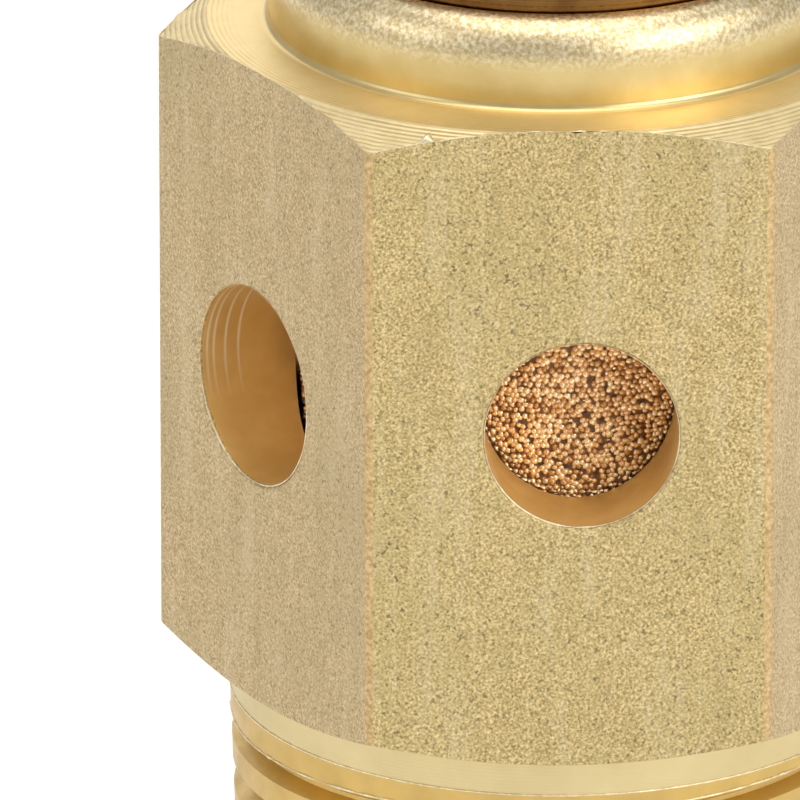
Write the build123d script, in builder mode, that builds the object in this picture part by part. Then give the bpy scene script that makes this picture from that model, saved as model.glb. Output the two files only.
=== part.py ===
"""Pressure relief valve: hexagon body with a tapered male thread, six side vents over a
sintered silencer, a spring-loaded poppet and a crimped-in bonnet with an adjusting screw.
Millimetres, Z up along the valve axis, Z = 0 at the inlet end, one vent faces -Y."""

import os
from math import atan, cos, degrees, pi, radians, sin, tan

from build123d import *

# hexagon body
ACROSS_FLATS = 18.0
CORNER_RADIUS = 0.3
HEX_BOTTOM = 13.7
HEX_TOP = 31.28
TOP_CHAMFER_R = 9.1
TOP_CHAMFER_SLOPE = 0.42
BOTTOM_CHAMFER_R = 8.74
BOTTOM_CHAMFER_SLOPE = 0.444

# neck, crimped inwards over the bonnet
NECK_R = 7.5
NECK_FILLET = 0.2
NECK_STRAIGHT = 1.2
CRIMP_EDGE_R = 6.6
CRIMP_TOP = 33.64
CRIMP_INNER_TOP = 32.95
CRIMP_INNER_START = 32.45

# vents, one per flat: index from the flat facing -Y, going anticlockwise from above
VENT_Z = 22.93
VENT_R = 2.6
VENT_EDGE_FILLET = 0.1
FRONT_VENT_R = 2.52
FRONT_VENT_SHIFT = 0.33
LEFT_VENT_R = 2.66
LEFT_VENT_SHIFT = 0.49
LEFT_VENT_DROP = 0.38

# tapered male thread, 18 threads per inch
THREAD_PITCH = 1.411
TAPER = 1 / 32
COLLAR_R = 8.55
COLLAR_BOTTOM = 12.78
GROOVE_Z_AT_X = 10.94
GROOVE_ROOT = 0.12
GROOVE_DEPTH = 1.0
GROOVE_ANGLE = 30.0
FULL_FORM_TURNS = 6
RUNOUT_SLOPE = 0.148
RUNOUT_TURNS = 4.1
END_CHAMFER = 0.9

# bores of the body
INLET_R = 5.2
INLET_TOP = 8.8
INLET_CHAMFER = 0.4
SCREEN_POCKET_R = 5.0
SCREEN_POCKET_TOP = 10.6
THROAT_R = 4.4
SEAT_POCKET_R = 6.0
SEAT_POCKET_BOTTOM = 12.0
CHAMBER_R = 6.83
CHAMBER_BOTTOM = 15.6
CAP_SEAT_R = 7.05
CAP_SEAT_Z = 31.0

# gap left around pieces that drop into a bore
DROP_IN_GAP = 0.03

# inlet screen and its ring
SCREEN_THICKNESS = 0.5
SCREEN_HOLE_R = 0.42
SCREEN_RING_PITCH = 1.3
RING_HEIGHT = 0.9
RING_BORE_R = 4.1
RING_GAP_WIDTH = 1.2

# seat insert
SEAT_BORE_R = 3.4
SEAT_LIP_R = 3.95
SEAT_LIP_TOP = 15.9
SEAT_FLANGE_TOP = 15.2
SEAT_GROOVE_IN = 4.55
SEAT_GROOVE_OUT = 5.55
SEAT_GROOVE_DEPTH = 0.95
SEAT_ORING_R = 0.45

# silencer stack
GASKET_IN = 4.5
GASKET_OUT = 6.78
LOWER_GASKET_TOP = 16.1
STACK_TOP = 30.4
SLEEVE_IN = 5.3
SLEEVE_OUT = 6.75
CAGE_IN = 4.65
CAGE_OUT = 5.15
CAGE_SLOT_WIDTH = 2.2
CAGE_SLOT_BOTTOM = 16.9
CAGE_SLOT_TOP = 25.5

# bonnet cap and its seal
CAP_R = 7.0
CAP_SHOULDER_Z = 32.36
CAP_HUB_R = 6.45
CAP_HUB_START = 33.0
CAP_HUB_TOP = 37.0
CAP_HUB_ROUND = 1.5
CAP_CAVITY_R = 4.3
CAP_CAVITY_TOP = 33.2
CAP_THREAD_R = 3.05
CAP_GROOVE_R = 6.45
CAP_GROOVE_BOTTOM = 31.45
CAP_GROOVE_TOP = 32.05
CAP_ORING_MEAN_R = 6.75
CAP_ORING_R = 0.27

# adjuster
SCREW_R = 2.95
SCREW_TIP_R = 1.6
SCREW_TIP_Z = 30.7
SCREW_BODY_Z = 31.3
SCREW_TOP = 41.6
SOCKET_ACROSS_FLATS = 3.0
SOCKET_DEPTH = 2.4
WASHER_R = 5.2
WASHER_THICKNESS = 0.7
NUT_ACROSS_FLATS = 10.0
NUT_HEIGHT = 2.9
BALL_R = 0.8
BUTTON_R = 4.1
BUTTON_SEAT_Z = 28.6
BUTTON_TOP = 29.9
BUTTON_BOSS_R = 2.2
BUTTON_BOSS_Z = 27.5

# spring
SPRING_MEAN_R = 3.0
SPRING_WIRE_R = 0.42
SPRING_TURNS = 6.5

# poppet
POPPET_R = 4.4
POPPET_BOTTOM = 16.2
POPPET_SEAT_Z = 18.6
POPPET_BOSS_R = 2.2
POPPET_BOSS_TOP = 19.8
POPPET_STEM_R = 1.1
POPPET_STEM_TOP = 25.0
SEAL_R = 4.18
SEAL_TOP = 16.8
SEAL_WASHER_R = 2.4
SEAL_WASHER_THICKNESS = 0.4
SEAL_SCREW_R = 0.85
SEAL_SCREW_HEAD_R = 1.7
SEAL_SCREW_HEAD_HEIGHT = 0.9
SEAL_SCREW_TOP = 17.8
SEAL_SLOT_WIDTH = 0.5
SEAL_SLOT_DEPTH = 0.45


def turned(points):
    """The closed outline of (radius, z) points turned about Z."""
    with BuildPart() as shape:
        with BuildSketch(Plane.XZ):
            Polygon(*points, align=None)
        revolve(axis=Axis.Z)
    return shape.part


def blank_radius(z):
    """Radius of the tapered thread blank at height z."""
    return COLLAR_R - (COLLAR_BOTTOM - z) * TAPER


def thread_groove(turn_from, turns, depth_at_start, slope):
    """A helical groove solid that starts turn_from turns above the first start point."""
    z = GROOVE_Z_AT_X - 9 * THREAD_PITCH + turn_from * THREAD_PITCH
    root_r = blank_radius(z) - depth_at_start
    reach = depth_at_start + 0.6
    spread = reach * tan(radians(GROOVE_ANGLE))
    with BuildPart() as groove:
        with BuildLine() as path:
            Helix(
                pitch=THREAD_PITCH,
                height=turns * THREAD_PITCH,
                radius=root_r,
                center=(0, 0, z),
                cone_angle=degrees(atan(slope)),
            )
        with BuildSketch(Plane(origin=(0, 0, z), x_dir=(1, 0, 0), z_dir=(0, -1, 0))):
            Polygon(
                (root_r, -GROOVE_ROOT / 2),
                (root_r, GROOVE_ROOT / 2),
                (root_r + reach, GROOVE_ROOT / 2 + spread),
                (root_r + reach, -GROOVE_ROOT / 2 - spread),
                align=None,
            )
        sweep(path=path.line, is_frenet=True)
    return groove.part


def valve_body():
    with BuildPart() as body:
        with BuildSketch(Plane.XY.offset(HEX_BOTTOM)):
            RegularPolygon(ACROSS_FLATS / 2, 6, major_radius=False)
        extrude(amount=HEX_TOP - HEX_BOTTOM)
        fillet(body.edges().filter_by(Axis.Z), CORNER_RADIUS)
        with BuildSketch(Plane.XZ):
            Polygon(
                (TOP_CHAMFER_R, HEX_TOP),
                (12, HEX_TOP),
                (12, HEX_TOP - (12 - TOP_CHAMFER_R) * TOP_CHAMFER_SLOPE),
                align=None,
            )
            Polygon(
                (BOTTOM_CHAMFER_R, HEX_BOTTOM),
                (12, HEX_BOTTOM),
                (12, HEX_BOTTOM + (12 - BOTTOM_CHAMFER_R) * BOTTOM_CHAMFER_SLOPE),
                align=None,
            )
        revolve(axis=Axis.Z, mode=Mode.SUBTRACT)
        outline = [
            (0, 0),
            (blank_radius(0) - END_CHAMFER, 0),
            (blank_radius(0), END_CHAMFER),
            (COLLAR_R, COLLAR_BOTTOM),
            (COLLAR_R, HEX_BOTTOM + 0.5),
            (0, HEX_BOTTOM + 0.5),
        ]
        add(turned(outline))
        arc_z = HEX_TOP + NECK_STRAIGHT
        arc_r = NECK_R - CRIMP_EDGE_R
        arc_rise = CRIMP_TOP - arc_z
        with BuildSketch(Plane.XZ):
            with BuildLine():
                Polyline(
                    (0, HEX_TOP - 1),
                    (NECK_R + NECK_FILLET, HEX_TOP - 1),
                    (NECK_R + NECK_FILLET, HEX_TOP),
                )
                RadiusArc(
                    (NECK_R + NECK_FILLET, HEX_TOP),
                    (NECK_R, HEX_TOP + NECK_FILLET),
                    NECK_FILLET,
                )
                Line((NECK_R, HEX_TOP + NECK_FILLET), (NECK_R, arc_z))
                ThreePointArc(
                    (NECK_R, arc_z),
                    (CRIMP_EDGE_R + arc_r * cos(pi / 4), arc_z + arc_rise * sin(pi / 4)),
                    (CRIMP_EDGE_R, CRIMP_TOP),
                )
                Polyline(
                    (CRIMP_EDGE_R, CRIMP_TOP),
                    (CRIMP_EDGE_R, CRIMP_INNER_TOP),
                    (CAP_SEAT_R, CRIMP_INNER_START),
                    (CAP_SEAT_R, HEX_TOP - 0.5),
                    (0, HEX_TOP - 0.5),
                    (0, HEX_TOP - 1),
                )
            make_face()
        revolve(axis=Axis.Z)
        with BuildSketch(Plane.XZ):
            Polygon(
                (0, -1),
                (INLET_R + INLET_CHAMFER + 1, -1),
                (INLET_R, INLET_CHAMFER),
                (INLET_R, INLET_TOP),
                (SCREEN_POCKET_R, INLET_TOP),
                (SCREEN_POCKET_R, SCREEN_POCKET_TOP),
                (THROAT_R, SCREEN_POCKET_TOP),
                (THROAT_R, SEAT_POCKET_BOTTOM),
                (SEAT_POCKET_R, SEAT_POCKET_BOTTOM),
                (SEAT_POCKET_R, CHAMBER_BOTTOM),
                (CHAMBER_R, CHAMBER_BOTTOM),
                (CHAMBER_R, CAP_SEAT_Z),
                (CAP_SEAT_R, CAP_SEAT_Z),
                (CAP_SEAT_R, HEX_TOP),
                (0, HEX_TOP),
                align=None,
            )
        revolve(axis=Axis.Z, mode=Mode.SUBTRACT)
        for index in range(6):
            angle = radians(-90 + 60 * index)
            outward = (cos(angle), sin(angle), 0)
            along = (-sin(angle), cos(angle), 0)
            radius = VENT_R
            shift = 0.0
            height = VENT_Z
            if index == 0:
                radius = FRONT_VENT_R
                shift = FRONT_VENT_SHIFT
            if index == 5:
                radius = LEFT_VENT_R
                shift = -LEFT_VENT_SHIFT
                height = VENT_Z - LEFT_VENT_DROP
            centre = (along[0] * shift, along[1] * shift, height)
            with BuildSketch(Plane(origin=centre, x_dir=along, z_dir=outward)):
                Circle(radius)
            extrude(amount=12, mode=Mode.SUBTRACT)
        rims = [
            edge
            for edge in body.edges().filter_by(GeomType.CIRCLE)
            if abs(edge.radius - VENT_R) < 0.1 and abs(edge.arc_center.Z - VENT_Z) < 0.5
        ]
        fillet(rims, VENT_EDGE_FILLET)
        full_form = thread_groove(0, FULL_FORM_TURNS, GROOVE_DEPTH, TAPER)
        runout = thread_groove(FULL_FORM_TURNS, RUNOUT_TURNS, GROOVE_DEPTH, RUNOUT_SLOPE)
        add([full_form, runout], mode=Mode.SUBTRACT)
    return body.part


def inlet_screen():
    with BuildPart() as screen:
        with BuildSketch(Plane.XY.offset(SCREEN_POCKET_TOP - SCREEN_THICKNESS)):
            Circle(SCREEN_POCKET_R - DROP_IN_GAP)
            Circle(SCREEN_HOLE_R, mode=Mode.SUBTRACT)
            with PolarLocations(SCREEN_RING_PITCH, 6):
                Circle(SCREEN_HOLE_R, mode=Mode.SUBTRACT)
            with PolarLocations(2 * SCREEN_RING_PITCH, 12):
                Circle(SCREEN_HOLE_R, mode=Mode.SUBTRACT)
        extrude(amount=SCREEN_THICKNESS)
    return screen.part


def inlet_retaining_ring():
    top = SCREEN_POCKET_TOP - SCREEN_THICKNESS
    with BuildPart() as ring:
        with BuildSketch(Plane.XY.offset(top - RING_HEIGHT)):
            Circle(SCREEN_POCKET_R - DROP_IN_GAP)
            Circle(RING_BORE_R, mode=Mode.SUBTRACT)
            with Locations((SCREEN_POCKET_R, 0)):
                Rectangle(2 * RING_GAP_WIDTH, RING_GAP_WIDTH, mode=Mode.SUBTRACT)
        extrude(amount=RING_HEIGHT)
    return ring.part


def seat_oring():
    with BuildPart() as ring:
        with BuildSketch(Plane.XZ):
            with Locations(
                ((SEAT_GROOVE_IN + SEAT_GROOVE_OUT) / 2, SEAT_POCKET_BOTTOM + SEAT_GROOVE_DEPTH / 2)
            ):
                Circle(SEAT_ORING_R)
        revolve(axis=Axis.Z)
    return ring.part


def seat_insert():
    outer = SEAT_POCKET_R - DROP_IN_GAP
    with BuildPart() as seat:
        outline = [
            (SEAT_BORE_R + 0.5, SEAT_POCKET_BOTTOM),
            (SEAT_GROOVE_IN, SEAT_POCKET_BOTTOM),
            (SEAT_GROOVE_IN, SEAT_POCKET_BOTTOM + SEAT_GROOVE_DEPTH),
            (SEAT_GROOVE_OUT, SEAT_POCKET_BOTTOM + SEAT_GROOVE_DEPTH),
            (SEAT_GROOVE_OUT, SEAT_POCKET_BOTTOM),
            (outer, SEAT_POCKET_BOTTOM),
            (outer, SEAT_FLANGE_TOP),
            (SEAT_LIP_R + 0.3, SEAT_FLANGE_TOP),
            (SEAT_LIP_R, SEAT_LIP_TOP),
            (SEAT_BORE_R + 0.15, SEAT_LIP_TOP),
            (SEAT_BORE_R, SEAT_LIP_TOP - 0.15),
            (SEAT_BORE_R, SEAT_POCKET_BOTTOM + 0.5),
        ]
        add(turned(outline))
    return seat.part


def lower_gasket():
    with BuildPart() as gasket:
        with BuildSketch(Plane.XY.offset(CHAMBER_BOTTOM)):
            Circle(GASKET_OUT)
            Circle(GASKET_IN, mode=Mode.SUBTRACT)
        extrude(amount=LOWER_GASKET_TOP - CHAMBER_BOTTOM)
    return gasket.part


def silencer_sleeve():
    with BuildPart() as sleeve:
        with BuildSketch(Plane.XY.offset(LOWER_GASKET_TOP)):
            Circle(SLEEVE_OUT)
            Circle(SLEEVE_IN, mode=Mode.SUBTRACT)
        extrude(amount=STACK_TOP - LOWER_GASKET_TOP)
    return sleeve.part


def spring_cage():
    with BuildPart() as cage:
        with BuildSketch(Plane.XY.offset(LOWER_GASKET_TOP)):
            Circle(CAGE_OUT)
            Circle(CAGE_IN, mode=Mode.SUBTRACT)
        extrude(amount=STACK_TOP - LOWER_GASKET_TOP)
        middle = (CAGE_SLOT_BOTTOM + CAGE_SLOT_TOP) / 2
        for index in range(6):
            angle = radians(60 * index)
            outward = (cos(angle), sin(angle), 0)
            along = (-sin(angle), cos(angle), 0)
            with BuildSketch(Plane(origin=(0, 0, middle), x_dir=along, z_dir=outward)):
                SlotOverall(CAGE_SLOT_TOP - CAGE_SLOT_BOTTOM, CAGE_SLOT_WIDTH, rotation=90)
            extrude(amount=8, mode=Mode.SUBTRACT)
    return cage.part


def upper_gasket():
    with BuildPart() as gasket:
        with BuildSketch(Plane.XY.offset(STACK_TOP)):
            Circle(GASKET_OUT)
            Circle(GASKET_IN, mode=Mode.SUBTRACT)
        extrude(amount=CAP_SEAT_Z - STACK_TOP)
    return gasket.part


def bonnet_cap():
    with BuildPart() as cap:
        outline = [
            (CAP_CAVITY_R, CAP_SEAT_Z),
            (CAP_R, CAP_SEAT_Z),
            (CAP_R, CAP_GROOVE_BOTTOM),
            (CAP_GROOVE_R, CAP_GROOVE_BOTTOM),
            (CAP_GROOVE_R, CAP_GROOVE_TOP),
            (CAP_R, CAP_GROOVE_TOP),
            (CAP_R, CAP_SHOULDER_Z),
            (CAP_HUB_R, CAP_HUB_START),
            (CAP_HUB_R, CAP_HUB_TOP),
            (CAP_THREAD_R, CAP_HUB_TOP),
            (CAP_THREAD_R, CAP_CAVITY_TOP),
            (CAP_CAVITY_R, CAP_CAVITY_TOP),
        ]
        add(turned(outline))
        top_rim = [
            edge
            for edge in cap.edges().filter_by(GeomType.CIRCLE)
            if abs(edge.radius - CAP_HUB_R) < 0.01 and edge.center().Z > CAP_HUB_TOP - 0.01
        ]
        fillet(top_rim, CAP_HUB_ROUND)
    return cap.part


def bonnet_oring():
    with BuildPart() as ring:
        with BuildSketch(Plane.XZ):
            with Locations((CAP_ORING_MEAN_R, (CAP_GROOVE_BOTTOM + CAP_GROOVE_TOP) / 2)):
                Circle(CAP_ORING_R)
        revolve(axis=Axis.Z)
    return ring.part


def lock_washer():
    with BuildPart() as washer:
        with BuildSketch(Plane.XY.offset(CAP_HUB_TOP)):
            Circle(WASHER_R)
            Circle(CAP_THREAD_R + 0.15, mode=Mode.SUBTRACT)
        extrude(amount=WASHER_THICKNESS)
        chamfer(washer.edges().filter_by(GeomType.CIRCLE).sort_by(Axis.Z)[-1], 0.12)
    return washer.part


def lock_nut():
    bottom = CAP_HUB_TOP + WASHER_THICKNESS
    with BuildPart() as nut:
        with BuildSketch(Plane.XY.offset(bottom)):
            RegularPolygon(NUT_ACROSS_FLATS / 2, 6, major_radius=False, rotation=10)
            Circle(CAP_THREAD_R, mode=Mode.SUBTRACT)
        extrude(amount=NUT_HEIGHT)
        with BuildSketch(Plane.XZ):
            for z, way in ((bottom, 1), (bottom + NUT_HEIGHT, -1)):
                Polygon(
                    (NUT_ACROSS_FLATS / 2 - 0.15, z),
                    (7, z),
                    (7, z + way * 1.05),
                    align=None,
                )
        revolve(axis=Axis.Z, mode=Mode.SUBTRACT)
    return nut.part


def adjusting_screw():
    with BuildPart() as screw:
        outline = [
            (0, SCREW_TIP_Z),
            (SCREW_TIP_R, SCREW_TIP_Z),
            (SCREW_TIP_R, SCREW_BODY_Z),
            (SCREW_R - 0.3, SCREW_BODY_Z),
            (SCREW_R, SCREW_BODY_Z + 0.3),
            (SCREW_R, SCREW_TOP - 0.4),
            (SCREW_R - 0.4, SCREW_TOP),
            (0, SCREW_TOP),
        ]
        add(turned(outline))
        with BuildSketch(Plane.XY.offset(SCREW_TOP)):
            RegularPolygon(SOCKET_ACROSS_FLATS / 2, 6, major_radius=False)
        extrude(amount=-SOCKET_DEPTH, mode=Mode.SUBTRACT)
    return screw.part


def thrust_ball():
    with BuildPart() as ball:
        with Locations((0, 0, SCREW_TIP_Z - BALL_R)):
            Sphere(BALL_R)
    return ball.part


def spring_button():
    with BuildPart() as button:
        outline = [
            (0, BUTTON_BOSS_Z),
            (BUTTON_BOSS_R - 0.3, BUTTON_BOSS_Z),
            (BUTTON_BOSS_R, BUTTON_BOSS_Z + 0.3),
            (BUTTON_BOSS_R, BUTTON_SEAT_Z),
            (BUTTON_R, BUTTON_SEAT_Z),
            (BUTTON_R, BUTTON_TOP - 0.3),
            (BUTTON_R - 0.3, BUTTON_TOP),
            (BALL_R + 0.02, BUTTON_TOP),
            (BALL_R + 0.02, SCREW_TIP_Z - 2 * BALL_R),
            (0, SCREW_TIP_Z - 2 * BALL_R),
        ]
        add(turned(outline))
    return button.part


def main_spring():
    start = POPPET_SEAT_Z + SPRING_WIRE_R
    rise = BUTTON_SEAT_Z - SPRING_WIRE_R - start
    with BuildPart() as spring:
        with BuildLine() as path:
            Helix(
                pitch=rise / SPRING_TURNS,
                height=rise,
                radius=SPRING_MEAN_R,
                center=(0, 0, start),
            )
        with BuildSketch(Plane(origin=path.line @ 0, z_dir=path.line % 0)):
            Circle(SPRING_WIRE_R - 0.01)
        sweep(path=path.line, is_frenet=True)
    return spring.part


def poppet():
    with BuildPart() as piece:
        outline = [
            (SEAL_R + 0.02, POPPET_BOTTOM),
            (POPPET_R, POPPET_BOTTOM),
            (POPPET_R, POPPET_SEAT_Z - 0.3),
            (POPPET_R - 0.3, POPPET_SEAT_Z),
            (POPPET_BOSS_R, POPPET_SEAT_Z),
            (POPPET_BOSS_R, POPPET_BOSS_TOP - 0.3),
            (POPPET_BOSS_R - 0.3, POPPET_BOSS_TOP),
            (POPPET_STEM_R, POPPET_BOSS_TOP),
            (POPPET_STEM_R, POPPET_STEM_TOP - 0.3),
            (POPPET_STEM_R - 0.3, POPPET_STEM_TOP),
            (0, POPPET_STEM_TOP),
            (0, SEAL_SCREW_TOP + 0.1),
            (SEAL_SCREW_R + 0.01, SEAL_SCREW_TOP + 0.1),
            (SEAL_SCREW_R + 0.01, SEAL_TOP),
            (SEAL_R + 0.02, SEAL_TOP),
        ]
        add(turned(outline))
    return piece.part


def poppet_seal():
    with BuildPart() as seal:
        with BuildSketch(Plane.XY.offset(SEAT_LIP_TOP)):
            Circle(SEAL_R)
            Circle(SEAL_SCREW_R + 0.02, mode=Mode.SUBTRACT)
        extrude(amount=SEAL_TOP - SEAT_LIP_TOP)
    return seal.part


def seal_washer():
    with BuildPart() as washer:
        with BuildSketch(Plane.XY.offset(SEAT_LIP_TOP - SEAL_WASHER_THICKNESS)):
            Circle(SEAL_WASHER_R)
            Circle(SEAL_SCREW_R + 0.02, mode=Mode.SUBTRACT)
        extrude(amount=SEAL_WASHER_THICKNESS)
    return washer.part


def seal_screw():
    under_head = SEAT_LIP_TOP - SEAL_WASHER_THICKNESS
    with BuildPart() as screw:
        outline = [
            (0, under_head - SEAL_SCREW_HEAD_HEIGHT),
            (SEAL_SCREW_HEAD_R - 0.3, under_head - SEAL_SCREW_HEAD_HEIGHT),
            (SEAL_SCREW_HEAD_R, under_head - SEAL_SCREW_HEAD_HEIGHT + 0.3),
            (SEAL_SCREW_HEAD_R, under_head),
            (SEAL_SCREW_R, under_head),
            (SEAL_SCREW_R, SEAL_SCREW_TOP),
            (0, SEAL_SCREW_TOP),
        ]
        add(turned(outline))
        with BuildSketch(Plane.XY.offset(under_head - SEAL_SCREW_HEAD_HEIGHT)):
            Rectangle(4 * SEAL_SCREW_HEAD_R, SEAL_SLOT_WIDTH)
        extrude(amount=SEAL_SLOT_DEPTH, mode=Mode.SUBTRACT)
    return screw.part


PIECES = {
    "valve_body": valve_body,
    "inlet_screen": inlet_screen,
    "inlet_retaining_ring": inlet_retaining_ring,
    "seat_oring": seat_oring,
    "seat_insert": seat_insert,
    "lower_gasket": lower_gasket,
    "silencer_sleeve": silencer_sleeve,
    "spring_cage": spring_cage,
    "upper_gasket": upper_gasket,
    "bonnet_cap": bonnet_cap,
    "bonnet_oring": bonnet_oring,
    "lock_washer": lock_washer,
    "lock_nut": lock_nut,
    "adjusting_screw": adjusting_screw,
    "thrust_ball": thrust_ball,
    "spring_button": spring_button,
    "main_spring": main_spring,
    "poppet": poppet,
    "poppet_seal": poppet_seal,
    "seal_washer": seal_washer,
    "seal_screw": seal_screw,
}

os.makedirs("parts", exist_ok=True)
for name, make in PIECES.items():
    part = make()
    part.label = name
    export_step(part, os.path.join("parts", name + ".step"))
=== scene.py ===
"""Looks of the pressure relief valve: brass body with turned and extruded surfaces, a
sintered bronze silencer made of beads, and the crimped neck. Lengths are in millimetres
until a mesh is made. Azimuths are in degrees from +X, anticlockwise from above."""

import math

import bmesh
import bpy
import numpy as np
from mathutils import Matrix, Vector, noise


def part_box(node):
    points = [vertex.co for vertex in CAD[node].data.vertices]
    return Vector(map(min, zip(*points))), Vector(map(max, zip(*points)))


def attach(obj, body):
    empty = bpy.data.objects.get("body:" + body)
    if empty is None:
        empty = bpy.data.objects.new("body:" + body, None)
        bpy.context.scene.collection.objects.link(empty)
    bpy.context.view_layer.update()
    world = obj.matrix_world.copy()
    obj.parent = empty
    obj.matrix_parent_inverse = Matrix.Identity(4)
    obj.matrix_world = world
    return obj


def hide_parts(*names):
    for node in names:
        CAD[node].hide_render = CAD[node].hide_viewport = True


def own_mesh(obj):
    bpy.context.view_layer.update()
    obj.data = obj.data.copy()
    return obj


MM = 0.001

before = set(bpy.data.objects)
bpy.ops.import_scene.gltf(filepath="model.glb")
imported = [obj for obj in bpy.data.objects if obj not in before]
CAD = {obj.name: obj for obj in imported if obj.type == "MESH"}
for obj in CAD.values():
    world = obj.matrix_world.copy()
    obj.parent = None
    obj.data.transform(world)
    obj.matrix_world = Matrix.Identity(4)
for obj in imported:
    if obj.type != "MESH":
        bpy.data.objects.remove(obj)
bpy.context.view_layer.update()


def box_mm(node):
    """Lowest and highest corner of a CAD node, in millimetres."""
    low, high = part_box(node)
    return np.array(low) / MM, np.array(high) / MM


# ---------------------------------------------------------------- sizes
BODY_HIGH = box_mm("valve_body")[1]
SLEEVE_LOW, SLEEVE_HIGH = box_mm("silencer_sleeve")
FLAT = BODY_HIGH[1]  # distance of each flat from the axis
HEX_BOTTOM = 13.7
HEX_TOP = 31.28
CORNER_RADIUS = 0.3
CHAMFER_R = 9.1
CHAMFER_SLOPE = 0.42
NECK_R = 7.5
NECK_FILLET = 0.2
NECK_STRAIGHT_TOP = 32.48
RIM_R = 6.6
RIM_TOP = BODY_HIGH[2]
RIM_INNER_TOP = 32.95
CAP_SEAT_R = 7.05
CAP_SEAT_TOP = 32.45
CAP_SEAT_BOTTOM = 31.0
COLLAR_R = 8.55
COLLAR_BOTTOM = 12.78
SLEEVE_R = SLEEVE_HIGH[0]
# vents: azimuth, radius, shift along the flat, height
VENTS = [
    (270, 2.52, 0.33, 22.93),
    (330, 2.6, 0.0, 22.93),
    (30, 2.6, 0.0, 22.93),
    (90, 2.6, 0.0, 22.93),
    (150, 2.6, 0.0, 22.93),
    (210, 2.66, -0.49, 22.55),
]

# turned surfaces
SHARP_ANGLE = math.radians(28)
RIDGE_PITCH = 0.135
RIDGE_DEPTH = 0.018
RING_RIDGE_DEPTH = 0.005
RING_FADE_START = 8.3
RING_FADE_WIDTH = 0.7

# rolled rim: its skin, its torn inner edge, and how often their noise repeats
SKIN_DEPTH = 0.007
SKIN_START = 31.9
SKIN_RISE = 0.8
LUMP_SCALE = 7.0
FINE_LUMP_SCALE = 13.0
RIM_TEAR = 0.035
RIM_FLASH = 0.09
TEAR_SCALE = 60
FINE_TEAR_SCALE = 150

# burrs and worn edges
EIGHTHS = np.radians(np.arange(0, 360, 45))
EDGE_WEAR = 0.07
EDGE_WEAR_TURNS = 2600
SKIRT_EXTRA_TURNS = 7
LIP_SIZE = 0.035
# azimuth, half-width in degrees, thickness
SHOULDER_BURRS = [
    (247.6, 0.75, 0.21),
    (252.0, 1.6, 0.02),
    (271.5, 0.9, 0.03),
    (112.0, 0.8, 0.06),
    (31.0, 0.7, 0.05),
]
COLLAR_EDGE_SIZE = 0.03
THREAD_BURR_R = 8.497
THREAD_BURR_HEIGHT = 11.146
THREAD_BURR_SIZE = 0.028
THREAD_BURR_FROM = -40
THREAD_BURR_TO = 360
THREAD_BURR_CLIMB = 1.318
THREAD_BURR_WEAR = 0.8
THREAD_TAPER = 1 / 32

# silencer: beads, sized in shares of their spacing, and the feed rings of the drill
BEAD_SPACING = 0.162
BEAD_MARGIN = 0.35
BEAD_JITTER = 0.16
BEAD_SMALLEST = 0.62
BEAD_LARGEST = 0.80
BEAD_FLATTENING = 0.30
BEAD_LUMPS = 0.09
SINK_SHAPE = 1.4
SINK_SCALE = 0.018
CORE_INNER_R = 5.3
CORE_BELOW = 0.1
FEED_RINGS = (0.25, 0.45, 0.8, 1.2)

SPRING_TURNS = 6.5
SPRING_WIRE_R = 0.41

# ---------------------------------------------------------------- light and view
WORLD_STRENGTH = 0.57
# name: azimuth, elevation, distance, size in metres, power in watts
SOFTBOXES = {
    "overhead": (270, 80, 0.5, 0.5, 1.35),
    "right_front": (312, 26, 0.5, 0.3, 0.88),
    "left": (205, 26, 0.5, 0.30, 0.3),
    "right": (-20, 30, 0.5, 0.25, 0.2),
    "backdrop": (90, 30, 0.5, 0.45, 0.5),
}
CAMERA_AZIMUTH = -1.82
CAMERA_ELEVATION = 21.0
CAMERA_DISTANCE = 521.0
VIEW_WIDTH = 20.917
SENSOR = 36.0
AIM_LEFT = 4.067
AIM_DOWN = 2.345
AIM_HEIGHT = 23.0


def grid_mesh(name, points, closed=True):
    """A mesh from an array of rows x columns x 3 points in millimetres; columns may close into a ring."""
    rows, columns = points.shape[:2]
    index = np.arange(rows * columns).reshape(rows, columns)
    following = np.roll(index, -1, axis=1) if closed else index[:, 1:]
    here = index if closed else index[:, :-1]
    quads = np.stack([here[:-1], following[:-1], following[1:], here[1:]], axis=-1)
    mesh = bpy.data.meshes.new(name)
    mesh.from_pydata((points.reshape(-1, 3) * MM).tolist(), [], quads.reshape(-1, 4).tolist())
    mesh.shade_smooth()
    return mesh


def add_piece(name, mesh, body, slot, *replaced):
    """Puts a mesh in the scene as a piece that rides on a CAD body."""
    piece = bpy.data.objects.new(name, mesh)
    bpy.context.scene.collection.objects.link(piece)
    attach(piece, body)
    if replaced:
        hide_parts(*replaced)
    return piece


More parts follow.
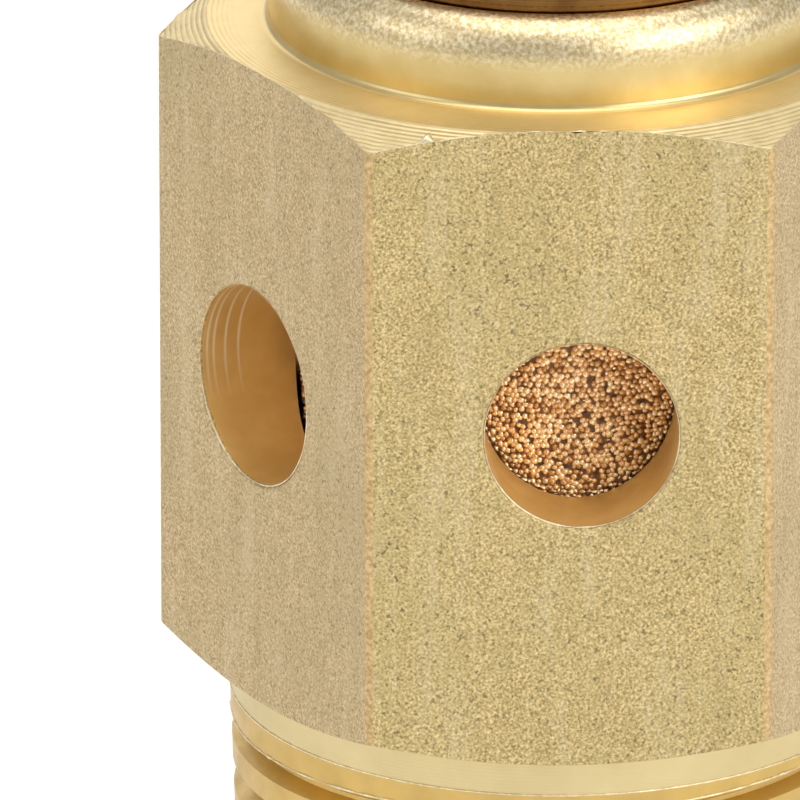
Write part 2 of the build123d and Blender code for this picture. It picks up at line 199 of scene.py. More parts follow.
# ---------------------------------------------------------------- materials
class Nodes:
    """Short hand for building a node tree with a Principled shader."""

    def __init__(self, name):
        self.material = bpy.data.materials.new(name)
        self.material.use_nodes = True
        self.tree = self.material.node_tree
        self.shader = self.tree.nodes["Principled BSDF"]
        self.coords = self.tree.nodes.new("ShaderNodeTexCoord").outputs["Object"]
        tilt = self.add("Mapping", {"Vector": self.coords, "Rotation": (0.7, 0.5, 0.9)})
        self.tilted = tilt.outputs["Vector"]

    def add(self, kind, inputs=(), **settings):
        node = self.tree.nodes.new("ShaderNode" + kind)
        for key, value in settings.items():
            setattr(node, key, value)
        for key, value in dict(inputs).items():
            self.put(node.inputs[key], value)
        return node

    def put(self, socket, value):
        if isinstance(value, bpy.types.NodeSocket):
            self.tree.links.new(value, socket)
        else:
            socket.default_value = value

    def set(self, **values):
        for key, value in values.items():
            self.put(self.shader.inputs[key.replace("_", " ")], value)

    def stretched(self, scale):
        """Object coordinates times a scale, in cycles per metre."""
        mapping = self.add("Mapping", {"Vector": self.coords, "Scale": scale})
        return mapping.outputs["Vector"]

    def noise(self, scale, detail=2.0, rough=0.5, vector=None):
        inputs = {"Scale": scale, "Detail": detail, "Roughness": rough}
        inputs["Vector"] = vector or self.tilted
        return self.add("TexNoise", inputs).outputs["Fac"]

    def ramp(self, fac, *stops):
        """A colour ramp through (position, colour) stops."""
        node = self.add("ValToRGB", {"Fac": fac})
        elements = node.color_ramp.elements
        while len(elements) < len(stops):
            elements.new(0.5)
        for element, (position, colour) in zip(elements, stops):
            element.position = position
            element.color = (*colour, 1) if len(colour) == 3 else colour
        return node.outputs["Color"]

    def level(self, fac, low, high, start=0.0, end=1.0):
        """fac from start..end mapped onto low..high."""
        inputs = {"Value": fac, "From Min": start, "From Max": end, "To Min": low, "To Max": high}
        return self.add("MapRange", inputs).outputs["Result"]

    def math(self, operation, a, b=0.0):
        node = self.add("Math", operation=operation)
        self.put(node.inputs[0], a)
        self.put(node.inputs[1], b)
        return node.outputs[0]

    def mix(self, fac, a, b, blend="MIX"):
        node = self.add("Mix", data_type="RGBA", blend_type=blend)
        self.put(node.inputs["Factor"], fac)
        self.put(node.inputs[6], a)
        self.put(node.inputs[7], b)
        return node.outputs[2]

    def bump(self, height, strength, distance, normal=None):
        inputs = {"Height": height, "Strength": strength, "Distance": distance * MM}
        node = self.add("Bump", inputs)
        if normal:
            self.put(node.inputs["Normal"], normal)
        return node.outputs["Normal"]

    def radius(self):
        """Distance from the valve's axis, in metres."""
        flat = self.add("VectorMath", {0: self.coords, 1: (1, 1, 0)}, operation="MULTIPLY")
        return self.add("VectorMath", {0: flat.outputs[0]}, operation="LENGTH").outputs["Value"]

    def height(self):
        return self.add("SeparateXYZ", {"Vector": self.coords}).outputs["Z"]


def brass_flat():
    """Extruded hexagon flats: dull olive gold with a fine dark grain, stains and scratches, and a painted
    sheen on the flats that face sideways.
    """
    m = Nodes("brass_flat")
    grain = m.noise(14000, 4.0, 0.65)
    fleck = m.noise(7000, 2.0, 0.55)
    stain = m.noise(230, 5.0, 0.65)
    base = m.ramp(
        grain,
        (0.33, (0.26, 0.19, 0.083)),
        (0.44, (0.46, 0.352, 0.152)),
        (0.54, (0.63, 0.485, 0.218)),
        (0.66, (0.87, 0.69, 0.38)),
    )
    base = m.mix(m.level(stain, 0.0, 0.5, 0.42, 0.72), base, (0.50, 0.41, 0.19, 1))
    streak = m.noise(1.0, 3.0, 0.55, m.stretched((6200, 6200, 150)))
    base = m.mix(m.level(streak, 0.0, 0.3, 0.58, 0.8), base, (0.78, 0.68, 0.42, 1))
    pits = m.math("MULTIPLY", m.level(fleck, 1.0, 0.0, 0.30, 0.40), m.level(stain, 0.35, 0.95, 0.4, 0.62))
    base = m.mix(pits, base, (0.20, 0.16, 0.08, 1))
    # Painted sheen: flats turned towards ±X get a paler, cooler tone for the light they catch.
    sides = m.add("SeparateXYZ", {"Vector": m.add("NewGeometry").outputs["Normal"]}).outputs["X"]
    side_sheen_share = m.level(m.math("ABSOLUTE", sides), 0.0, 1.0, 0.2, 0.8)
    side_sheen = m.mix(0.3, m.mix(1.0, base, (1.0, 0.97, 1.15, 1), "MULTIPLY"), (0.57, 0.45, 0.25, 1))
    base = m.mix(side_sheen_share, base, side_sheen)
    smear = m.noise(1.0, 3.0, 0.6, m.stretched((1500, 1500, 240)))
    base = m.mix(m.level(smear, 0.0, 0.3, 0.52, 0.72), base, (0.74, 0.63, 0.42, 1))
    base = m.mix(m.level(smear, 0.25, 0.0, 0.3, 0.45), base, (0.40, 0.31, 0.15, 1))
    m.set(Base_Color=base, Metallic=0.85, Roughness=m.level(grain, 0.62, 0.48, 0.3, 0.7))
    m.set(Normal=m.bump(grain, 0.3, 0.01, m.bump(streak, 0.15, 0.005)))
    return m.material


def brass_corner():
    """The narrow rounded corners, rubbed to a pinker tone."""
    m = Nodes("brass_corner")
    rub = m.noise(8000, 4.0, 0.65)
    base = m.ramp(rub, (0.36, (0.45, 0.30, 0.13)), (0.5, (0.60, 0.425, 0.20)), (0.64, (0.74, 0.55, 0.29)))
    m.set(Base_Color=base, Metallic=0.85, Roughness=0.55, Normal=m.bump(rub, 0.4, 0.01))
    return m.material


def brass_turned(name, base_low, base_high, rough, pitch=0.12, depth=0.004, axial=False):
    """Turned brass with fine concentric tool marks."""
    m = Nodes(name)
    along = m.height() if axial else m.radius()
    cycles = m.math("MULTIPLY", along, 2 * math.pi / (pitch * MM))
    wave = m.math("SINE", cycles)
    stain = m.noise(500, 3.0, 0.6)
    base = m.ramp(stain, (0.3, base_low), (0.7, base_high))
    m.set(Base_Color=base, Metallic=1.0, Roughness=rough)
    m.set(Normal=m.bump(m.level(wave, 0.0, 1.0, -1.0, 1.0), 0.6, depth))
    return m.material


def brass_ridged(name, low, high, valley_shade_share, fade_from, fade_to):
    """Turned brass with painted shade in the valleys at the pitch of the mesh's own ridges, fading in
    between two radii.
    """
    m = Nodes(name)
    tone = m.noise(1800, 3.0, 0.6)
    base = m.ramp(tone, (0.3, low), (0.7, high))
    along = m.math("SUBTRACT", CHAMFER_R * MM, m.radius())
    wave = m.math("COSINE", m.math("MULTIPLY", along, 2 * math.pi / (RIDGE_PITCH * MM)))
    uneven = m.level(m.noise(1600, 2.0, 0.6), 0.35, 1.0, 0.35, 0.6)
    # Painted shade: a darker colour laid in the valleys between the turned ridges.
    valley_shade = m.math("MULTIPLY", m.level(wave, 0.0, valley_shade_share, 0.2, 1.0), uneven)
    valley_shade = m.math("MULTIPLY", valley_shade, m.level(m.radius(), 0.0, 1.0, fade_from * MM, fade_to * MM))
    m.set(Base_Color=m.mix(valley_shade, base, (0.42, 0.32, 0.13, 1)), Metallic=1.0, Roughness=0.5)
    m.set(Normal=m.bump(tone, 0.15, 0.01))
    return m.material


def brass_vent():
    """Drilled vent walls: warm brass with a few feed rings near the mouth, painted pale as highlights
    within one band of height.
    """
    m = Nodes("brass_vent")
    across = []
    for azimuth in (30, 90, 150):
        a = math.radians(azimuth)
        inputs = {0: m.coords, 1: (math.cos(a), math.sin(a), 0)}
        product = m.add("VectorMath", inputs, operation="DOT_PRODUCT").outputs["Value"]
        across.append(m.math("ABSOLUTE", product))
    reach = m.math("MAXIMUM", m.math("MAXIMUM", across[0], across[1]), across[2])
    depth = m.math("SUBTRACT", FLAT * MM, reach)
    tone = m.noise(700, 3.0, 0.6)
    base = m.ramp(tone, (0.3, (0.76, 0.50, 0.16)), (0.7, (0.88, 0.62, 0.24)))
    # The feed rings are real tool marks, also bumped; their pale colour, kept to one band of height, is a
    # painted highlight.
    glint_patch = m.level(m.height(), 0.0, 1.0, 21.3 * MM, 22.8 * MM)
    glint_patch = m.math("MULTIPLY", glint_patch, m.level(m.noise(420, 1.0, 0.5), 0.3, 1.0, 0.35, 0.55))
    ring_marks_and_glint = 0.0
    for ring_depth in FEED_RINGS:
        gap = m.math("ABSOLUTE", m.math("SUBTRACT", depth, ring_depth * MM))
        ring_marks_and_glint = m.math("MAXIMUM", ring_marks_and_glint, m.level(gap, 1.0, 0.0, 0.015 * MM, 0.055 * MM))
    ring_marks_and_glint = m.math("MULTIPLY", ring_marks_and_glint, glint_patch)
    base = m.mix(ring_marks_and_glint, base, (1.0, 0.92, 0.66, 1))
    wave = m.math("SINE", m.math("MULTIPLY", depth, 2 * math.pi / (0.07 * MM)))
    height = m.math("ADD", m.math("MULTIPLY", wave, 0.15), ring_marks_and_glint)
    m.set(Base_Color=base, Metallic=0.65, Roughness=0.42, Normal=m.bump(height, 0.3, 0.006))
    return m.material


def brass_crimp():
    """Neck and rolled rim: satin skin, pebbled where the metal was pressed over."""
    m = Nodes("brass_crimp")
    pebble = m.noise(9000, 3.0, 0.6)
    broad = m.noise(900, 3.0, 0.6)
    rolled = m.level(m.height(), 0.0, 1.0, 32.3 * MM, 32.9 * MM)
    smooth = m.ramp(broad, (0.3, (0.62, 0.47, 0.20)), (0.7, (0.70, 0.55, 0.26)))
    dark, middle, bright = (0.50, 0.38, 0.19), (0.70, 0.56, 0.32), (0.94, 0.83, 0.59)
    rough = m.ramp(pebble, (0.34, dark), (0.48, middle), (0.64, bright))
    base = m.mix(m.math("MULTIPLY", rolled, 0.85), smooth, rough)
    m.set(Base_Color=base, Metallic=1.0, Roughness=m.level(rolled, 0.30, 0.36))
    fine = m.math("MULTIPLY", pebble, m.level(rolled, 0.12, 1.0))
    height = m.math("ADD", fine, m.math("MULTIPLY", broad, 0.3))
    m.set(Normal=m.bump(height, 0.45, 0.018))
    return m.material


def sinter_beads():
    """Sintered bronze beads, each of its own tone."""
    m = Nodes("sinter_beads")
    own = m.add("NewGeometry").outputs["Random Per Island"]
    base = m.ramp(own, (0.0, (0.50, 0.28, 0.13)), (0.4, (0.88, 0.59, 0.34)), (1.0, (1.0, 0.82, 0.58)))
    m.set(Base_Color=base, Metallic=0.85, Roughness=0.24)
    return m.material


def sinter_core_shade():
    m = Nodes("sinter_core_shade")
    # A dark brown that paints the shade in the gaps between the beads.
    base = m.ramp(m.noise(6000), (0.3, (0.08, 0.04, 0.02)), (0.7, (0.30, 0.16, 0.08)))
    m.set(Base_Color=base, Metallic=0.6, Roughness=0.7)
    return m.material


def plain_metal(name, colour, rough, scale=4000, amount=0.25):
    """Smooth metal with slight variation of tone and roughness."""
    m = Nodes(name)
    tone = m.noise(scale, 3.0, 0.6)
    darker = tuple(channel * (1 - amount) for channel in colour)
    m.set(Base_Color=m.ramp(tone, (0.3, darker), (0.7, colour)), Metallic=1.0)
    m.set(Roughness=m.level(tone, rough * 1.2, rough * 0.8, 0.3, 0.7))
    m.set(Normal=m.bump(tone, 0.15, 0.01))
    return m.material


def soft_part(name, colour, rough):
    m = Nodes(name)
    tone = m.noise(2500, 3.0, 0.6)
    darker = tuple(channel * 0.8 for channel in colour)
    m.set(Base_Color=m.ramp(tone, (0.3, darker), (0.7, colour)), Roughness=rough)
    m.set(Normal=m.bump(tone, 0.2, 0.01))
    return m.material


# ---------------------------------------------------------------- body
def hexagon_radius(azimuth):
    """Distance from the axis to the rounded hexagon's outline, for azimuths in degrees."""
    off = np.radians(np.abs((azimuth + 120) % 60 - 30))
    flat = FLAT / np.cos(off)
    centre = (FLAT - CORNER_RADIUS) / math.cos(math.pi / 6)
    from_corner = math.pi / 6 - off
    inside = np.maximum(CORNER_RADIUS**2 - (centre * np.sin(from_corner)) ** 2, 0)
    corner = centre * np.cos(from_corner) + np.sqrt(inside)
    on_corner = FLAT * np.tan(off) > centre * 0.5
    return np.where(on_corner, corner, flat)


def body_shell():
    """A copy of the CAD body with a material for each kind of surface. It leaves out the
    surfaces that the crown makes in finer detail."""
    mesh = CAD["valve_body"].data.copy()
    mesh.name = "body_shell"
    mesh.materials.clear()
    if "custom_normal" in mesh.attributes:
        mesh.attributes.remove(mesh.attributes["custom_normal"])
    work = bmesh.new()
    work.from_mesh(mesh)
    bmesh.ops.remove_doubles(work, verts=work.verts, dist=1e-7)
    names = ["flat", "corner", "vent", "turned", "collar", "thread", "inner"]
    gone = []
    planar = set()
    for face in work.faces:
        x, y, z = face.calc_center_median() / MM
        r = math.hypot(x, y)
        normal = face.normal
        off = (math.degrees(math.atan2(y, x)) + 120) % 60 - 30
        to_flat = r * math.cos(math.radians(off))
        outward = (normal.x * x + normal.y * y) / max(r, 1e-6)
        kind = "inner"
        if z > HEX_TOP - 0.01 or (normal.z > 0.2 and to_flat > 8 and z > 30):
            gone.append(face)
        elif r > CAP_SEAT_R - 0.1 and z > CAP_SEAT_BOTTOM + 0.01 and outward < 0:
            gone.append(face)
        elif z > HEX_BOTTOM - 0.01 and to_flat > 6.9:
            if normal.z < -0.2 and outward > 0 and z < 14.7:
                kind = "turned"
            elif to_flat > FLAT - 0.11:
                kind = "flat"
                if to_flat > FLAT - 0.0005 and abs(normal.z) < 0.001:
                    planar.add(face)
                if r > 10.02 and abs(normal.z) < 0.1 and to_flat < FLAT - 0.002:
                    kind = "corner"
            elif r > 10:
                kind = "corner"
            else:
                kind = "vent"
        elif r > COLLAR_R - 0.02 and z > COLLAR_BOTTOM:
            kind = "collar"
        elif r > 7.0 and z <= COLLAR_BOTTOM + 0.05 and outward > -0.3:
            kind = "thread"
        face.material_index = names.index(kind)
        face.smooth = True
    for edge in work.edges:
        faces = edge.link_faces
        bend = edge.calc_face_angle(0.0)
        one_is_flat = len(faces) == 2 and (faces[0] in planar) != (faces[1] in planar)
        edge.smooth = not one_is_flat and bend < SHARP_ANGLE
    bmesh.ops.delete(work, geom=gone, context="FACES")
    work.to_mesh(mesh)
    work.free()
    for name in names:
        mesh.materials.append(BODY_MATERIALS[name])
    add_piece("body_shell", mesh, "housing", "body_brass", "valve_body")


def noise_ring(azimuth, turns, offset):
    """Smooth random values round a circle; more turns make finer wear."""
    radius = turns / 100
    places = [(radius * math.cos(a), radius * math.sin(a), offset) for a in np.radians(azimuth)]
    return np.array([noise.noise(Vector(place)) for place in places])


def crown_profile():
    """(radius, height) points from inside the crimp, over the rim, down the neck and out
    over the flat ring."""
    points = [(CAP_SEAT_R, CAP_SEAT_BOTTOM), (CAP_SEAT_R, CAP_SEAT_TOP)]
    points.append((RIM_R + 0.05, RIM_INNER_TOP))
    for lean in np.linspace(0, 1, 6):
        z = RIM_INNER_TOP + 0.05 + lean * (RIM_TOP - RIM_INNER_TOP - 0.11)
        points.append((RIM_R - RIM_FLASH * lean**2, z))
    bend = NECK_R - RIM_R
    rise = RIM_TOP - NECK_STRAIGHT_TOP
    for a in np.radians(np.linspace(88, 0, 34)):
        points.append((RIM_R + bend * math.cos(a), NECK_STRAIGHT_TOP + rise * math.sin(a)))
    wall = np.linspace(NECK_STRAIGHT_TOP - 0.05, HEX_TOP + NECK_FILLET, 12)
    points += [(NECK_R, z) for z in wall]
    for a in np.radians(np.linspace(10, 90, 8)):
        r = NECK_R + NECK_FILLET * (1 - math.cos(a))
        z = HEX_TOP + NECK_FILLET * (1 - math.sin(a))
        points.append((r, z))
    for r in np.arange(NECK_R + NECK_FILLET + 0.03, CHAMFER_R - 0.01, RIDGE_PITCH / 6):
        ridge = 0.5 + 0.5 * math.cos(2 * math.pi * (CHAMFER_R - r) / RIDGE_PITCH)
        rise = min(max((r - RING_FADE_START) / RING_FADE_WIDTH, 0.1), 1)
        points.append((r, HEX_TOP - RING_RIDGE_DEPTH * ridge * rise))
    return np.array(points)


def body_crown():
    """Chamfer with turned ridges, flat ring, neck and rolled rim as one fine mesh."""
    azimuth = np.linspace(0, 360, 512, endpoint=False)
    ca, sa = np.cos(np.radians(azimuth)), np.sin(np.radians(azimuth))
    profile = crown_profile()
    reach = hexagon_radius(azimuth)[None, :]
    r = np.minimum(np.repeat(profile[:, :1], len(azimuth), axis=1), reach)
    z = np.repeat(profile[:, 1:], len(azimuth), axis=1)
    share = np.linspace(0, 1, 64)[:, None]
    cone_start = np.minimum(CHAMFER_R, reach)
    cone_r = cone_start + share * (reach - cone_start)
    ridge = 0.5 + 0.5 * np.cos(2 * math.pi * (cone_r - CHAMFER_R) / RIDGE_PITCH)
    edge = np.clip((reach - cone_r) / 0.05, 0, 1) * np.clip((cone_r - CHAMFER_R) / 0.1, 0, 1)
    cone_z = HEX_TOP - np.maximum(cone_r - CHAMFER_R, 0) * CHAMFER_SLOPE - RIDGE_DEPTH * ridge * edge
    skirt_r = reach - 0.03
    skirt_z = cone_z[-1:] - 0.05
    r = np.vstack([r, cone_r, skirt_r])
    z = np.vstack([z, cone_z, skirt_z])
    points = np.stack([r * ca, r * sa, z], axis=-1)
    for row in range(len(profile), points.shape[0]):
        is_skirt = row == points.shape[0] - 1
        worn = noise_ring(azimuth, EDGE_WEAR_TURNS + SKIRT_EXTRA_TURNS * is_skirt, 3.0)
        near = np.clip(1 - (reach[0] - r[row]) / 0.08, 0, 1)
        points[row, :, 2] += EDGE_WEAR * worn * near
    for row in range(2, len(profile)):
        height = profile[row, 1]
        amount = np.clip((height - SKIN_START) / SKIN_RISE, 0, 1) * SKIN_DEPTH
        if amount == 0:
            continue
        ragged = 1.0 if profile[row, 0] < RIM_R + 0.08 else 0.0
        for column in range(len(azimuth)):
            p = Vector(points[row, column])
            lump = noise.noise(p * LUMP_SCALE) + 0.7 * noise.noise(p * FINE_LUMP_SCALE)
            cos, sin = ca[column], sa[column]
            tear = noise.noise(Vector((cos * TEAR_SCALE, sin * TEAR_SCALE, 3.0)))
            tear += 0.6 * noise.noise(Vector((cos * FINE_TEAR_SCALE, sin * FINE_TEAR_SCALE, 7.0)))
            shift = amount * lump - ragged * RIM_TEAR * tear
            outward = Vector((cos, sin, 0.7 if height > 33 else 0.2)).normalized()
            points[row, column] += np.array(outward) * shift
    points[:, :, 2] = np.minimum(points[:, :, 2], RIM_TOP)
    mesh = grid_mesh("body_crown", points)
    crimp, ring, chamfer = 0, 1, 2
    kinds = []
    for row in range(points.shape[0] - 1):
        if row >= len(profile):
            kinds += [chamfer] * len(azimuth)
        elif profile[row, 0] > NECK_R + 0.1:
            kinds += [ring] * len(azimuth)
        else:
            kinds += [crimp] * len(azimuth)
    mesh.polygons.foreach_set("material_index", kinds)
    for name in ("crimp", "ring", "chamfer"):
        mesh.materials.append(BODY_MATERIALS[name])
    add_piece("body_crown", mesh, "housing", "body_brass", "valve_body")
    flip = bmesh.new()
    flip.from_mesh(mesh)
    bmesh.ops.recalc_face_normals(flip, faces=flip.faces)
    flip.to_mesh(mesh)
    flip.free()


def shoulder_edge():
    """The ragged upper edge of the flats, with a few larger burrs that the cutter left."""
    steps = 450
    azimuth = np.linspace(0, 360, 4 * steps + 1)
    rng = np.random.default_rng(41)
    coarse = np.resize(rng.uniform(0, 1, steps), steps + 1)
    fine = np.interp(azimuth, np.linspace(0, 360, steps + 1), coarse)
    size = 0.008 + 0.022 * fine**2
    for centre, width, height in SHOULDER_BURRS:
        swell = np.exp(-(((azimuth - centre) / width) ** 2)) * height
        size += swell * (0.7 + 0.6 * fine)
    reach = hexagon_radius(azimuth)
    edge_z = HEX_TOP - np.maximum(reach - CHAMFER_R, 0) * CHAMFER_SLOPE
    rows = []
    for a, thick, outer, z in zip(np.radians(azimuth), size, reach, edge_z):
        middle = outer - 1.05 * thick
        section = [
            (middle + thick * math.cos(u), z + 0.85 * thick * math.sin(u)) for u in EIGHTHS
        ]
        rows.append([(r * math.cos(a), r * math.sin(a), height) for r, height in section])
    mesh = grid_mesh("shoulder_edge", np.array(rows))
    mesh.materials.append(BODY_MATERIALS["burr"])
    add_piece("shoulder_edge", mesh, "housing", "body_brass")


def edge_bead(
    name, radius, height, thickness, azimuth_from, azimuth_to, climb=0.0, taper=0.0, wear=0.0
):
    """A raised, slightly ragged edge that runs round the body, as a helix that rises by
    climb in a turn. taper is the radius gained per height."""
    span = azimuth_to - azimuth_from
    count = int(span * 2.5)
    azimuth = np.linspace(azimuth_from, azimuth_to, count)
    rng = np.random.default_rng(int(radius * 1000 + span))
    coarse = np.interp(azimuth, azimuth[::4], rng.uniform(0, 1, len(azimuth[::4])))
    rows = []
    for a, worn in zip(azimuth, coarse):
        t = math.radians(a)
        middle_z = height + climb * (a - azimuth_from) / 360
        size = thickness * (1 - wear + 2 * wear * worn)
        centre_r = radius + taper * (middle_z - height)
        ring = []
        for u in EIGHTHS:
            r = centre_r + size * math.cos(u)
            ring.append((r * math.cos(t), r * math.sin(t), middle_z + size * math.sin(u)))
        rows.append(ring)
    mesh = grid_mesh(name, np.array(rows))
    mesh.materials.append(BODY_MATERIALS["burr"])
    add_piece(name, mesh, "housing", "body_brass")


def vent_lip(index, azimuth, radius, shift, height):
    """The ragged bright rim that the drill left round the mouth of one vent, just inside the flat."""
    rng = np.random.default_rng(300 + index)
    turn = math.radians(azimuth)
    out = np.array([math.cos(turn), math.sin(turn), 0])
    along = np.array([-math.sin(turn), math.cos(turn), 0])
    up = np.array([0, 0, 1])
    angles = np.linspace(0, 360, 180, endpoint=False)
    worn = np.interp(angles, np.arange(0, 361, 8), np.resize(rng.uniform(0.25, 1, 45), 46))
    low_side = 0.6 - 0.4 * np.sin(np.radians(angles))
    rows = []
    for a, size in zip(np.radians(angles), LIP_SIZE * worn * low_side):
        spoke = along * math.cos(a) + up * math.sin(a)
        middle = out * (FLAT - LIP_SIZE) + along * shift + up * height + spoke * radius
        section = np.radians(np.arange(0, 360, 60))
        rows.append([middle + size * (spoke * math.cos(u) + out * math.sin(u)) for u in section])
    rows.append(rows[0])
    mesh = grid_mesh(f"vent_lip_{index}", np.array(rows))
    mesh.materials.append(BODY_MATERIALS["burr"])
    add_piece(mesh.name, mesh, "housing", "body_brass")


# ---------------------------------------------------------------- silencer
def silencer_core():
    """The sintered tube under its outer beads."""
    low, high = SLEEVE_LOW[2], SLEEVE_HIGH[2]
    skin = SLEEVE_R - CORE_BELOW
    inner = CORE_INNER_R
    outline = [(inner, low), (skin, low), (skin, high), (inner, high), (inner, low)]
    azimuth = np.radians(np.linspace(0, 360, 180, endpoint=False))
    rows = [[(r * math.cos(a), r * math.sin(a), z) for a in azimuth] for r, z in outline]
    mesh = grid_mesh("silencer_core", np.array(rows))
    mesh.set_sharp_from_angle(angle=math.radians(40))
    mesh.materials.append(SINTER_CORE_SHADE)
    add_piece("silencer_core", mesh, "housing", "sintered_bronze", "silencer_sleeve")


def bead_patch(index, azimuth, radius, shift, height):
    """Beads over the part of the sleeve that shows through one vent."""
    rng = np.random.default_rng(100 + index)
    ball = bmesh.new()
    bmesh.ops.create_icosphere(ball, subdivisions=2, radius=1.0)
    ball_points = np.array([v.co[:] for v in ball.verts])
    ball_faces = np.array([[v.index for v in f.verts] for f in ball.faces])
    ball.free()
    outer = ball_points[ball_faces].mean(axis=1)[:, 0] > 0.05
    ball_faces = ball_faces[outer]
    used, renumbered = np.unique(ball_faces, return_inverse=True)
    ball_points = ball_points[used]
    ball_faces = renumbered.reshape(-1, 3)
    half = radius + BEAD_MARGIN
    places = []
    row_step = BEAD_SPACING * 0.87
    for row in range(int(2 * half / row_step)):
        offset = 0.5 * BEAD_SPACING * (row % 2)
        for column in range(int(2 * half / BEAD_SPACING)):
            along = -half + column * BEAD_SPACING + offset
            up = -half + row * row_step
            if math.hypot(along, up) < half:
                places.append((along, up))
    places = np.array(places)
    places += rng.normal(0, BEAD_JITTER * BEAD_SPACING, places.shape)
    size = BEAD_SPACING * rng.uniform(BEAD_SMALLEST, BEAD_LARGEST, len(places))
    depth = SLEEVE_R - size - rng.gamma(SINK_SHAPE, SINK_SCALE, len(places))
    turn = math.radians(azimuth) + (places[:, 0] + shift) / SLEEVE_R
    z = height + places[:, 1]
    centres = np.stack([depth * np.cos(turn), depth * np.sin(turn), z], axis=-1)
    cos, sin = np.cos(turn), np.sin(turn)
    zero = np.zeros_like(turn)
    turns = np.stack(
        [
            np.stack([cos, -sin, zero], axis=-1),
            np.stack([sin, cos, zero], axis=-1),
            np.stack([zero, zero, zero + 1], axis=-1),
        ],
        axis=-2,
    )
    stretch = 1 + rng.uniform(-BEAD_FLATTENING, 0.0, (len(places), 1, 3))
    lumps = 1 + rng.normal(0, BEAD_LUMPS, (len(places), len(ball_points), 1))
    local = ball_points[None] * size[:, None, None] * stretch * lumps
    points = np.einsum("bij,bpj->bpi", turns, local) + centres[:, None, :]
    faces = ball_faces[None] + (np.arange(len(places)) * len(ball_points))[:, None, None]
    mesh = bpy.data.meshes.new(f"silencer_beads_{index}")
    mesh.from_pydata((points.reshape(-1, 3) * MM).tolist(), [], faces.reshape(-1, 3).tolist())
    mesh.shade_smooth()
    mesh.materials.append(SINTER_BEADS)
    add_piece(mesh.name, mesh, "housing", "sintered_bronze", "silencer_sleeve")


# ---------------------------------------------------------------- spring
def spring_coil():
    """The main spring as a fine round wire that rides on the housing."""
    low, high = box_mm("main_spring")
    wire = SPRING_WIRE_R
    mean = high[0] - wire
    along = np.linspace(0, 1, int(SPRING_TURNS * 64))
    section = np.radians(np.arange(0, 360, 18))
    rows = []
    for share in along:
        t = 2 * math.pi * SPRING_TURNS * share
        z = low[2] + wire + share * (high[2] - low[2] - 2 * wire)
        end = min(share, 1 - share) * SPRING_TURNS * 2 * math.pi * mean
        size = wire * math.sqrt(max(0.02, 1 - max(0, 1 - end / (0.5 * wire)) ** 2))
        ring = [(mean + size * math.cos(u), z + size * math.sin(u)) for u in section]
        rows.append([(r * math.cos(t), r * math.sin(t), height) for r, height in ring])
    mesh = grid_mesh("spring_coil", np.array(rows))
    mesh.materials.append(SPRING_STEEL)
    coil = add_piece("spring_coil", mesh, "housing", "spring_steel", "main_spring")
    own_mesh(coil)


BODY_MATERIALS = {
    "flat": brass_flat(),
    "corner": brass_corner(),
    "vent": brass_vent(),
    "turned": brass_turned("brass_turned", (0.70, 0.55, 0.22), (0.80, 0.64, 0.28), 0.32),
    "burr": plain_metal("brass_burr", (0.97, 0.84, 0.56), 0.4, 6000, 0.35),
    "collar": brass_turned(
        "brass_collar", (0.64, 0.51, 0.26), (0.71, 0.58, 0.31), 0.38, 0.1, 0.004, axial=True
    ),
    "thread": plain_metal("brass_thread", (0.66, 0.45, 0.15), 0.38, 900, 0.12),
    "inner": plain_metal("brass_inner", (0.60, 0.42, 0.16), 0.35),
    "crimp": brass_crimp(),
    "ring": brass_ridged(
        "brass_ring",
        (0.84, 0.66, 0.33),
        (0.88, 0.70, 0.37),
        0.5,
        RING_FADE_START,
        RING_FADE_START + RING_FADE_WIDTH,
    ),
    "chamfer": brass_ridged("brass_chamfer", (0.72, 0.58, 0.31), (0.84, 0.69, 0.40), 0.7, 8.9, 9.2),
}
SINTER_BEADS = sinter_beads()
SINTER_CORE_SHADE = sinter_core_shade()
SPRING_STEEL = plain_metal("spring_steel", (0.42, 0.42, 0.44), 0.28)

body_shell()
body_crown()
shoulder_edge()
edge_bead("collar_edge", COLLAR_R - 0.005, COLLAR_BOTTOM, COLLAR_EDGE_SIZE, 0, 360)
edge_bead(
    "thread_burr",
    THREAD_BURR_R,
    THREAD_BURR_HEIGHT,
    THREAD_BURR_SIZE,
    THREAD_BURR_FROM,
    THREAD_BURR_TO,
    climb=THREAD_BURR_CLIMB,
    taper=THREAD_TAPER,
    wear=THREAD_BURR_WEAR,
)
silencer_core()
spring_coil()
for vent_index, vent in enumerate(VENTS):
    bead_patch(vent_index, *vent)
    vent_lip(vent_index, *vent)

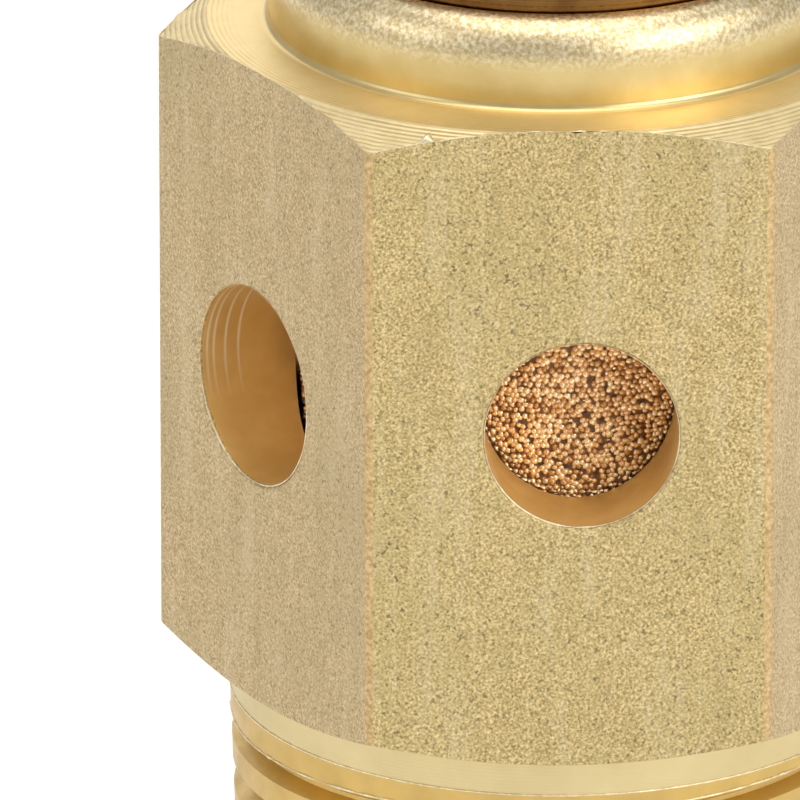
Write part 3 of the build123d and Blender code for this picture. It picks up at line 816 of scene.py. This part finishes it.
# ---------------------------------------------------------------- other CAD nodes
NODE_LOOKS = {
    "bonnet_cap": brass_turned(
        "bonnet_bronze", (0.12, 0.05, 0.014), (0.28, 0.145, 0.045), 0.24, 0.16, 0.012, axial=True
    ),
    "lock_nut": plain_metal("nut_brass", (0.74, 0.56, 0.24), 0.25),
    "lock_washer": plain_metal("washer_brass", (0.70, 0.52, 0.22), 0.3),
    "adjusting_screw": plain_metal("screw_brass", (0.70, 0.50, 0.20), 0.25),
    "spring_button": plain_metal("button_brass", (0.72, 0.54, 0.24), 0.3),
    "spring_cage": plain_metal("cage_brass", (0.68, 0.50, 0.22), 0.32),
    "poppet": plain_metal("poppet_brass", (0.72, 0.55, 0.25), 0.25),
    "seat_insert": plain_metal("seat_steel", (0.62, 0.61, 0.58), 0.22),
    "inlet_screen": plain_metal("screen_steel", (0.58, 0.58, 0.57), 0.3),
    "inlet_retaining_ring": plain_metal("ring_steel", (0.45, 0.45, 0.46), 0.35),
    "seal_washer": plain_metal("washer_steel", (0.60, 0.60, 0.58), 0.3),
    "seal_screw": plain_metal("seal_screw_steel", (0.58, 0.58, 0.57), 0.28),
    "thrust_ball": plain_metal("ball_steel", (0.72, 0.72, 0.73), 0.08),
    "main_spring": SPRING_STEEL,
    "seat_oring": soft_part("seat_rubber", (0.02, 0.02, 0.02), 0.5),
    "bonnet_oring": soft_part("bonnet_rubber", (0.02, 0.02, 0.02), 0.5),
    "poppet_seal": soft_part("poppet_rubber", (0.03, 0.03, 0.028), 0.55),
    "lower_gasket": soft_part("lower_gasket_white", (0.80, 0.79, 0.75), 0.6),
    "upper_gasket": soft_part("upper_gasket_white", (0.80, 0.79, 0.75), 0.6),
}
for node_name, look in NODE_LOOKS.items():
    data = CAD[node_name].data
    data.materials.clear()
    data.materials.append(look)

# ---------------------------------------------------------------- floor, light, camera
def stage_floor():
    mesh = bpy.data.meshes.new("floor")
    half = 3.0
    corners = [(-half, -half, 0), (half, -half, 0), (half, half, 0), (-half, half, 0)]
    mesh.from_pydata(corners, [], [(0, 1, 2, 3)])
    floor = bpy.data.objects.new("floor", mesh)
    bpy.context.scene.collection.objects.link(floor)
    paint = bpy.data.materials.new("floor_white")
    paint.use_nodes = True
    shader = paint.node_tree.nodes["Principled BSDF"]
    shader.inputs["Base Color"].default_value = (0.93, 0.93, 0.93, 1)
    shader.inputs["Roughness"].default_value = 0.8
    mesh.materials.append(paint)


def soft_light(name, azimuth, elevation, distance, size, power):
    """A square area light that looks at the middle of the hexagon."""
    light = bpy.data.lights.new(name, "AREA")
    light.shape = "SQUARE"
    light.size = size
    light.energy = power
    lamp = bpy.data.objects.new(name, light)
    bpy.context.scene.collection.objects.link(lamp)
    a, e = math.radians(azimuth), math.radians(elevation)
    away = Vector((math.cos(a) * math.cos(e), math.sin(a) * math.cos(e), math.sin(e)))
    lamp.location = Vector((0, 0, AIM_HEIGHT * MM)) + away * distance
    lamp.rotation_mode = "QUATERNION"
    lamp.rotation_quaternion = away.to_track_quat("Z", "Y")


def studio():
    world = bpy.data.worlds.new("studio")
    bpy.context.scene.world = world
    world.use_nodes = True
    background = world.node_tree.nodes["Background"]
    background.inputs["Color"].default_value = (1, 1, 1, 1)
    background.inputs["Strength"].default_value = WORLD_STRENGTH
    for name, light in SOFTBOXES.items():
        soft_light(name, *light)


def camera():
    data = bpy.data.cameras.new("camera")
    data.sensor_width = SENSOR
    data.lens = SENSOR * CAMERA_DISTANCE / VIEW_WIDTH
    data.clip_start = 0.05
    data.clip_end = 20.0
    cam = bpy.data.objects.new("camera", data)
    bpy.context.scene.collection.objects.link(cam)
    bpy.context.scene.camera = cam
    a, e = math.radians(CAMERA_AZIMUTH), math.radians(CAMERA_ELEVATION)
    back = Vector((math.sin(a) * math.cos(e), -math.cos(a) * math.cos(e), math.sin(e)))
    right = Vector((math.cos(a), math.sin(a), 0))
    up = back.cross(right)
    aim = Vector((0, 0, AIM_HEIGHT)) - right * AIM_LEFT - up * AIM_DOWN
    cam.location = (aim + back * CAMERA_DISTANCE) * MM
    cam.rotation_mode = "QUATERNION"
    cam.rotation_quaternion = back.to_track_quat("Z", "Y")


stage_floor()
studio()
camera()
bpy.context.scene.view_settings.view_transform = "Standard"
